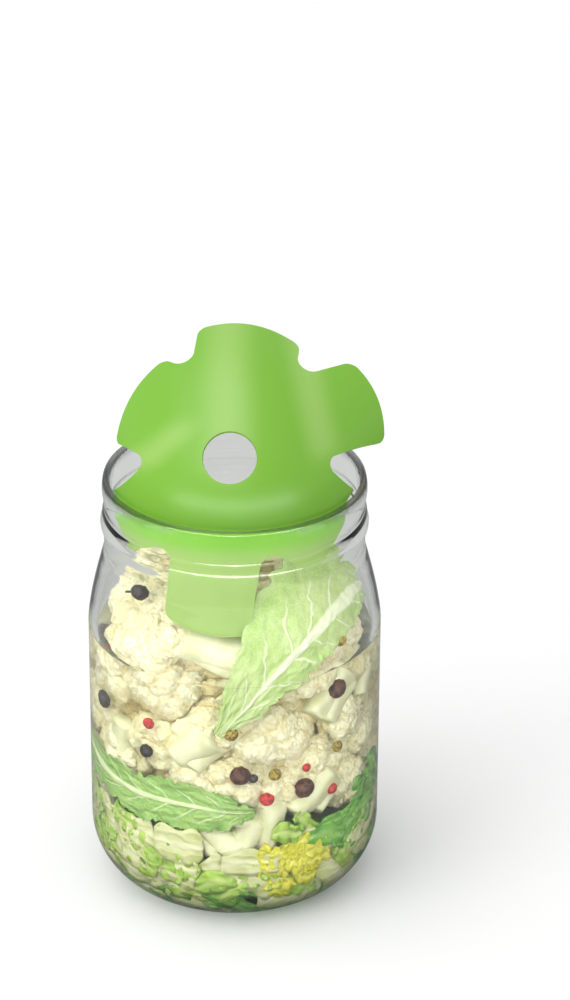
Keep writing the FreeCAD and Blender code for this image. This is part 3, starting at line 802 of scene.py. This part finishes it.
def leaf_finish(name, blade_dark, blade_light, vein_pale, rib_at):
    """A leaf's green blade with a pale rib, side veins and a net of small veins, by the UV map."""
    finish = Finish(name)
    spot = finish.node("SeparateXYZ", {}, {0: finish.node("UVMap").outputs[0]})
    u = Value(finish, spot.outputs[0])
    v = Value(finish, spot.outputs[1])
    side = abs(v - rib_at)
    warp = finish.noise(95.0, 3.0)
    rib = 1.0 - finish.band(side + 0.02 * warp, 0.015 + 0.07 * u, 0.035 + 0.11 * u)
    run = u * VEIN_COUNT - side * 2.6 + 0.9 * warp
    thread = abs(finish.value("Math", {"operation": "FRACT"}, {0: run}) - 0.5)
    vein = (1.0 - finish.band(thread, 0.01, 0.09)) * (1.0 - finish.band(side, 0.22, 0.48))
    net = 1.0 - finish.band(finish.cells(520.0, "DISTANCE_TO_EDGE"), 0.03, 0.12)
    cloud = finish.noise(90.0, 3.0)
    blade = finish.blend(finish.band(cloud, 0.35, 0.65), blade_light, blade_dark)
    edge = finish.band(side, 0.30, 0.5)
    blade = finish.blend(0.45 * (1.0 - edge), blade, blade_light)
    marks = finish.larger(finish.larger(vein * 0.8, net * 0.14), rib)
    finish.skin({"Base Color": finish.blend(marks, blade, vein_pale), "Roughness": 0.38, "IOR": 1.4,
                 "Normal": finish.bump(marks + 0.4 * cloud, 0.5, 0.0006)})
    return finish.material


# places along the rib (angle, height) from the tip, and half the leaf's width at each
UPPER_RIB = [(-7, 83), (2, 94), (11.5, 105), (24, 115), (38, 122), (54, 125.5), (69, 125.5), (80, 123)]
UPPER_HALF = [1.6, 7, 11, 14, 14, 13, 10, 6]
LOWER_RIB = [(8, 51.5), (-4, 51), (-17, 52), (-31, 52), (-45, 51.5), (-60, 52), (-76, 54), (-90, 58)]
LOWER_HALF = [1.6, 6.5, 9.5, 9, 8.5, 8, 7.5, 5]
upper = leaf_piece("upper_leaf", UPPER_RIB, UPPER_HALF, -0.25, 3.1, 0.6)
pale_leaf = leaf_finish("leaf_pale", tone(156, 186, 96), tone(182, 200, 132), tone(226, 230, 198), 0.375)
dress(upper, pale_leaf, "leaf", "leaf_upper")
lower = leaf_piece("lower_leaf", LOWER_RIB, LOWER_HALF, -0.1, 7.7, 0.0)
bright_leaf = leaf_finish("leaf_bright", tone(110, 160, 62), tone(150, 182, 98), tone(210, 220, 174), 0.45)
dress(lower, bright_leaf, "leaf", "leaf_lower")

# Chopped greens: a bed of cut cabbage and lettuce on the jar's floor. Pale ribs and blades, lime
# curls, a frilly yellow heart and dark outer strips, pressed on the glass, over a green core.

SHRED_THICK = 0.45


def shred(centre, length, width, turn, curl, ruffle, seed):
    """One cut piece of leaf in mm: a curved, ruffled strip that faces the glass."""
    rng = np.random.default_rng(seed)
    n = 18
    m = 7
    radial = centre * (1, 1, 0) / np.hypot(centre[0], centre[1])
    around = np.cross((0, 0, 1), radial)
    lift = np.array((0, 0, 1.0))
    along = around * math.cos(turn) + lift * math.sin(turn)
    cross = lift * math.cos(turn) - around * math.sin(turn)
    tip = rng.uniform(-0.5, 0.5)
    points = []
    for i in range(n):
        t = i / (n - 1) * 2 - 1
        for j in range(m):
            v = j / (m - 1) * 2 - 1
            edge = 1 - 0.35 * abs(t) ** 3 + 0.12 * math.sin(t * 5 + seed)
            sway = v * edge * width / 2 + 0.6 * math.sin(t * 3 + seed)
            out = curl * (t * t - 0.3) + ruffle * abs(v) * math.sin(t * 9 + seed + v)
            out += 0.25 * ruffle * math.sin(v * 4 + seed)
            out += tip * t * 1.5
            points.append(centre + along * t * length / 2 + cross * sway + radial * out)
    points = np.array(points)
    faces = []
    for i in range(n - 1):
        for j in range(m - 1):
            a = i * m + j
            faces += [(a, a + m, a + 1), (a + 1, a + m, a + m + 1)]
    across = np.tile(np.abs(np.linspace(-1, 1, m)), n)
    return press_in(points, 0.5), np.array(faces), across


def shreds(name, spots, material, size, curl, ruffle, seed):
    """A kind of cut leaf at its spots (angle, height), joined into one piece with a little thickness."""
    rng = np.random.default_rng(seed)
    bits = []
    for k, (deg, z) in enumerate(spots):
        centre = on_wall(deg, wall_radius(z) - rng.uniform(0.8, 3.2), z)
        length = size[0] * rng.uniform(0.75, 1.25)
        width = size[1] * rng.uniform(0.75, 1.25)
        turn = rng.uniform(-0.9, 0.9)
        bend = curl * rng.uniform(-1, 0.3)
        frill = ruffle * rng.uniform(0.6, 1.3)
        bits.append(shred(centre, length, width, turn, bend, frill, seed * 100 + k))
    piece = joined_piece(name, bits)
    pick(piece)
    solid = piece.modifiers.new("thickness", "SOLIDIFY")
    solid.thickness = SHRED_THICK * MM
    solid.offset = 0
    bpy.ops.object.modifier_apply(modifier="thickness")
    dress(piece, material, "greens")


def green_finish(name, deep, light, pale):
    """A cut leaf's clouded green, with fine lines, paler along the middle of each strip."""
    finish = Finish(name)
    across = finish.value("Attribute", {"attribute_name": "crease"}, {}, "Fac")
    cloud = finish.noise(130.0, 3.0)
    waves = {"Vector": finish.place(), "Scale": 90.0, "Distortion": 9.0, "Detail": 2.0}
    lines = finish.value("TexWave", {"bands_direction": "Z"}, waves, "Fac")
    body = finish.blend(finish.band(cloud, 0.32, 0.68), deep, light)
    body = finish.blend(0.65 * (1.0 - finish.band(across, 0.05, 0.45)), body, pale)
    body = finish.blend(0.3 * finish.band(lines, 0.72, 0.95), body, pale)
    relief = finish.bump(lines + cloud, 0.35, 0.0007)
    finish.skin({"Base Color": body, "Roughness": 0.36, "IOR": 1.4, "Normal": relief})
    return finish.material


def greens_top(deg):
    """Height in mm of the top of the bed: low at the left and in front, high at the right."""
    return 35 + 8 * math.sin(math.radians(deg)) - 4 * math.cos(math.radians(deg))


def ring_spots(count, z_low, z_high, seed, deg_low=-180, deg_high=180):
    """Spots (angle, height) spread at random along a part of the wall, below the bed's top."""
    rng = np.random.default_rng(seed)
    spots = []
    for i in range(count):
        deg = deg_low + (deg_high - deg_low) * (i + rng.uniform(0, 1)) / count
        top = min(z_high, greens_top(deg))
        spots.append((deg, z_low + (top - z_low) * rng.uniform(0, 1)))
    return spots


cabbage = green_finish("cabbage_pale", tone(174, 178, 108), tone(202, 202, 152), tone(222, 220, 184))
lime = green_finish("lettuce_lime", tone(122, 160, 40), tone(160, 190, 76), tone(192, 206, 124))
yellow = green_finish("heart_yellow", tone(188, 182, 24), tone(214, 208, 60), tone(222, 218, 112))
dark = green_finish("outer_green", tone(66, 128, 28), tone(112, 172, 60), tone(156, 200, 108))

# what is laid one by one in front and at the right of the bed, as (angle, height)
CABBAGE_FRONT = [
    (-48, 25), (-36, 22), (-56, 21), (-30, 25), (-20, 20), (-66, 20), (-80, 32), (-70, 36), (-58, 33),
    (-46, 35), (-34, 33), (-24, 36), (-86, 38),
]
LIME_FRONT = [
    (-22, 27), (-14, 25), (-26, 28), (-8, 22), (-66, 24), (-64, 29), (-40, 30), (-52, 38), (-76, 38),
    (-30, 38), (22, 41), (32, 42),
]
DARK_RIGHT = [
    (42, 35), (48, 39), (54, 36), (60, 43), (66, 38), (70, 47), (74, 40), (78, 50), (64, 30), (52, 30),
    (82, 44), (58, 25),
]
heart_front = ring_spots(16, 25, 38, 9, 10, 36) + ring_spots(9, 16, 30, 10, 14, 40)
heart_back = ring_spots(10, 16, 34, 3, 90, 270)
shreds("cabbage_cuts", ring_spots(34, 12, 36, 1) + CABBAGE_FRONT, cabbage, (20, 12), 2.2, 0.7, 5)
shreds("lime_cuts", ring_spots(40, 10, 40, 2) + LIME_FRONT, lime, (14, 8), 2.5, 1.5, 6)
shreds("yellow_hearts", heart_front + heart_back, yellow, (9, 6), 2.0, 1.4, 7)
shreds("dark_cuts", ring_spots(44, 8, 20, 4) + DARK_RIGHT, dark, (17, 7), 2.0, 1.0, 8)

BED_GAP = 4.0
BED_DOME = [(43, 24), (38, 30), (20, 36), (0, 38)]
bed = turned_piece("greens_bed", [p for p in inner_wall(BED_GAP) if p[1] < 20] + BED_DOME, 64)
bed_green = Finish("bed_green")
cloud = bed_green.noise(120.0, 4.0)
bed_colour = bed_green.blend(bed_green.band(cloud, 0.35, 0.65), tone(96, 140, 52), tone(150, 180, 90))
bed_green.skin({"Base Color": bed_colour, "Roughness": 0.5, "Normal": bed_green.bump(cloud, 0.8, 0.003)})
dress(bed, bed_green.material, "greens", "chopped_greens")

# Peppercorns and allspice: small dry berries that lie against the glass, wrinkled and matt, in
# black, brown, green and red. One dark allspice lies on a floret above the brine, with its stem.

# the tone of its folds, darker as painted shade in the hollows, and of its skin, then each berry's angle,
# height and radius
PEPPER = {
    "black": (tone(14, 8, 8), tone(44, 30, 28), [
        (-54.3, 126.3, 3.1), (-69, 80.2, 3.3), (-39.5, 70.2, 2.5), (7.6, 65.2, 1.7), (128, 88, 2.9),
        (176, 66, 2.6), (232, 96, 2.9), (205, 54, 2.4),
    ]),
    "brown": (tone(44, 12, 4), tone(92, 40, 18), [
        (48, 92.5, 3.6), (30.9, 56.9, 3.7), (2.4, 65.8, 3.5), (146, 58, 3.3), (252, 76, 3.4),
    ]),
    "green": (tone(96, 78, 10), tone(166, 142, 40), [
        (50.8, 110.4, 2.2), (-1.5, 83.1, 2.5), (17, 65.6, 2.3), (47.2, 69.5, 2.1), (112, 72, 2.4),
        (190, 104, 2.3), (222, 82, 2.3), (160, 82, 2.2),
    ]),
    "red": (tone(140, 6, 12), tone(204, 34, 30), [
        (-37.9, 82, 2.1), (30.8, 66, 1.6), (44.5, 53.1, 2.1), (13.6, 55.8, 2.5), (136, 104, 2.2),
        (212, 68, 2.1), (246, 52, 2.2),
    ]),
}
STEM_OUTER = on_wall(-60.8, 43.0, 124.9)
STEM_INNER = on_wall(-56.5, 41.2, 125.8)
WALL_GAP = 0.35
FLORET_GAP = 2.7
ABOVE_BRINE_Z = 118
CORN, CORN_FACES = unit_ball(4)


def wrinkled(d, k):
    """The wrinkles in one direction of berry number k."""
    return noise.noise(Vector(d * 3.2 + k)) + 0.6 * noise.noise(Vector(d * 7 - k))


for colour, (deep, light, spots) in PEPPER.items():
    bits = []
    for k, (deg, z, size) in enumerate(spots):
        wrinkle = np.array([wrinkled(d, k) for d in CORN])
        gap = WALL_GAP if z < ABOVE_BRINE_Z else FLORET_GAP
        points = CORN * (size * (1 + 0.09 * wrinkle))[:, None]
        points = points + on_wall(deg, wall_radius(z) - gap - size, z)
        bits.append((points, CORN_FACES, np.clip(0.5 - wrinkle, 0, 1)))
    if colour == "black":
        bits.append(stalk_tube(STEM_OUTER, STEM_INNER, 0.45, 0.4, 3, 0.0, 8, 6))
    corns = joined_piece("pepper_" + colour, bits)
    berry = Finish("berry_" + colour)
    # painted shade: the deep tone where the wrinkles sink in
    fold_shade = berry.value("Attribute", {"attribute_name": "crease"}, {}, "Fac")
    berry.skin({"Base Color": berry.blend(berry.band(fold_shade, 0.3, 0.75), light, deep), "Roughness": 0.5,
                "Normal": berry.bump(berry.noise(900.0, 3.0), 0.5, 0.0004)})
    dress(corns, berry.material, "cauliflower")

# Studio: a pale seamless floor and even white surroundings, which glass and brine show as white too.
# A wide lamp above and a soft one from the left light the jar. Two long strips in front of it light
# nothing matt: they only give the glass and the insert their highlights.

FLOOR_TONE = (0.92, 0.92, 0.92, 1)
FLOOR_IN_GLASS = (0.3, 0.3, 0.3, 1)
AIR_LIGHT = 0.66
AIR_SEEN = 1.0

put_down()
bpy.ops.mesh.primitive_plane_add(size=30, location=(0, 0, -0.0001))
floor = bpy.context.object
floor.name = "studio_floor"
matt = Finish("studio_white")
bounce = matt.ray("Is Glossy Ray") * (1.0 - 0.45 * matt.ray("Is Transmission Ray"))
matt.skin({"Base Color": matt.blend(bounce, FLOOR_TONE, FLOOR_IN_GLASS), "Roughness": 0.9,
           "Specular IOR Level": 0.0})
floor.data.materials.append(matt.material)


class Air(Finish):
    """The surroundings, built node by node as a finish is."""

    def __init__(self, name):
        self.world = bpy.data.worlds.new(name)
        self.world.use_nodes = True
        self.tree = self.world.node_tree
        self.tree.nodes.clear()
        self.out = self.node("OutputWorld")


air = Air("studio_air")
seen = air.ray("Is Camera Ray") + air.ray("Is Glossy Ray") + air.ray("Is Transmission Ray")
level = air.value("MapRange", {}, {"Value": seen, "To Min": AIR_LIGHT, "To Max": AIR_SEEN})
light = air.node("Background", {}, {"Color": WHITE, "Strength": level})
air.join(air.out.inputs["Surface"], light.outputs[0])
bpy.context.scene.world = air.world


def aim(lamp, place, target):
    """Puts a lamp at a place, turned to what it lights."""
    bpy.context.collection.objects.link(lamp)
    lamp.location = place
    lamp.rotation_euler = (Vector(target) - Vector(place)).to_track_quat("-Z", "Y").to_euler()


sky = bpy.data.lights.new("wide_lamp", "SUN")
sky.energy = 1.3
sky.angle = math.radians(60)
aim(bpy.data.objects.new("wide_lamp", sky), (-0.30, -0.25, 1.2), (0, 0, 0.08))
front = bpy.data.lights.new("front_lamp", "AREA")
front.shape = "RECTANGLE"
front.size = 0.9
front.size_y = 0.9
front.energy = 6.0
fill = bpy.data.objects.new("front_lamp", front)
aim(fill, (-1.15, -0.85, 0.85), (0, 0, 0.09))
fill.visible_glossy = False
for side in (-1, 1):
    strip = bpy.data.lights.new("strip_%d" % side, "AREA")
    strip.shape = "RECTANGLE"
    strip.size = 1.0
    strip.size_y = 0.07
    strip.energy = 14 * math.pi * strip.size * strip.size_y
    lamp = bpy.data.objects.new("strip_%d" % side, strip)
    aim(lamp, (side * 0.41, -0.80, 0.275), (0, 0, 0.145))
    lamp.visible_diffuse = False

AIM_Z = 0.09
FAR = 1.3
LOOK_DOWN = math.radians(28.97)
PITCH = math.radians(26.58936)
YAW = math.radians(0.80139)
view = bpy.data.cameras.new("studio_camera")
view.sensor_width = 36
view.lens = 129.456
camera = bpy.data.objects.new("studio_camera", view)
bpy.context.collection.objects.link(camera)
camera.location = (0, -FAR * math.cos(LOOK_DOWN), AIM_Z + FAR * math.sin(LOOK_DOWN))
tipped = Matrix.Rotation(math.pi / 2 - PITCH, 3, "X")
camera.rotation_euler = (tipped @ Matrix.Rotation(-YAW, 3, "Y")).to_euler()
bpy.context.scene.camera = camera
bpy.context.scene.view_settings.view_transform = "Standard"
